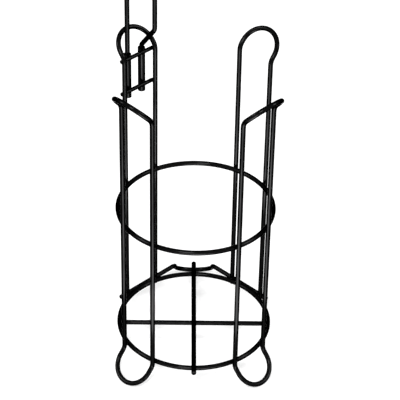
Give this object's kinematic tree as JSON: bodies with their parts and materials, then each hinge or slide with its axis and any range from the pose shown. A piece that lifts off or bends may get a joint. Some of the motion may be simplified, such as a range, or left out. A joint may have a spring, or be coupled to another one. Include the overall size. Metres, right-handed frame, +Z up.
{
  "type": "toilet roll holder",
  "caption": "Free-standing black wire stand: a round open well of rings and looped upright frames stores toilet rolls, and a lift-out double-wire arm holds the roll in use.",
  "frame": {"origin": "on the floor, on the upright axis of the two rings", "axes": "+Z up, -Y towards the front feet, +X to the right of someone facing the stand"},
  "size_m": [0.1958, 0.2128, 0.6116],
  "materials": {
    "black_paint": "semi-gloss powder coat"
  },
  "bodies": {
    "stand": {"bottom_ring": "black_paint", "middle_ring": "black_paint", "front_left_frame": "black_paint", "front_right_frame": "black_paint", "back_left_frame": "black_paint", "back_right_frame": "black_paint", "rear_foot": "black_paint", "cross_bar": "black_paint", "long_bar": "black_paint", "upper_socket_bar": "black_paint", "lower_socket_bar": "black_paint", "left_socket": "black_paint", "right_socket": "black_paint"},
    "arm": {"dispenser_arm": "black_paint"}
  },
  "joints": [
    {"name": "arm_lift", "type": "slide", "parent": "stand", "child": "arm", "axis": [0, 0, 1], "range_m": [0, 0.05]}
  ]
}
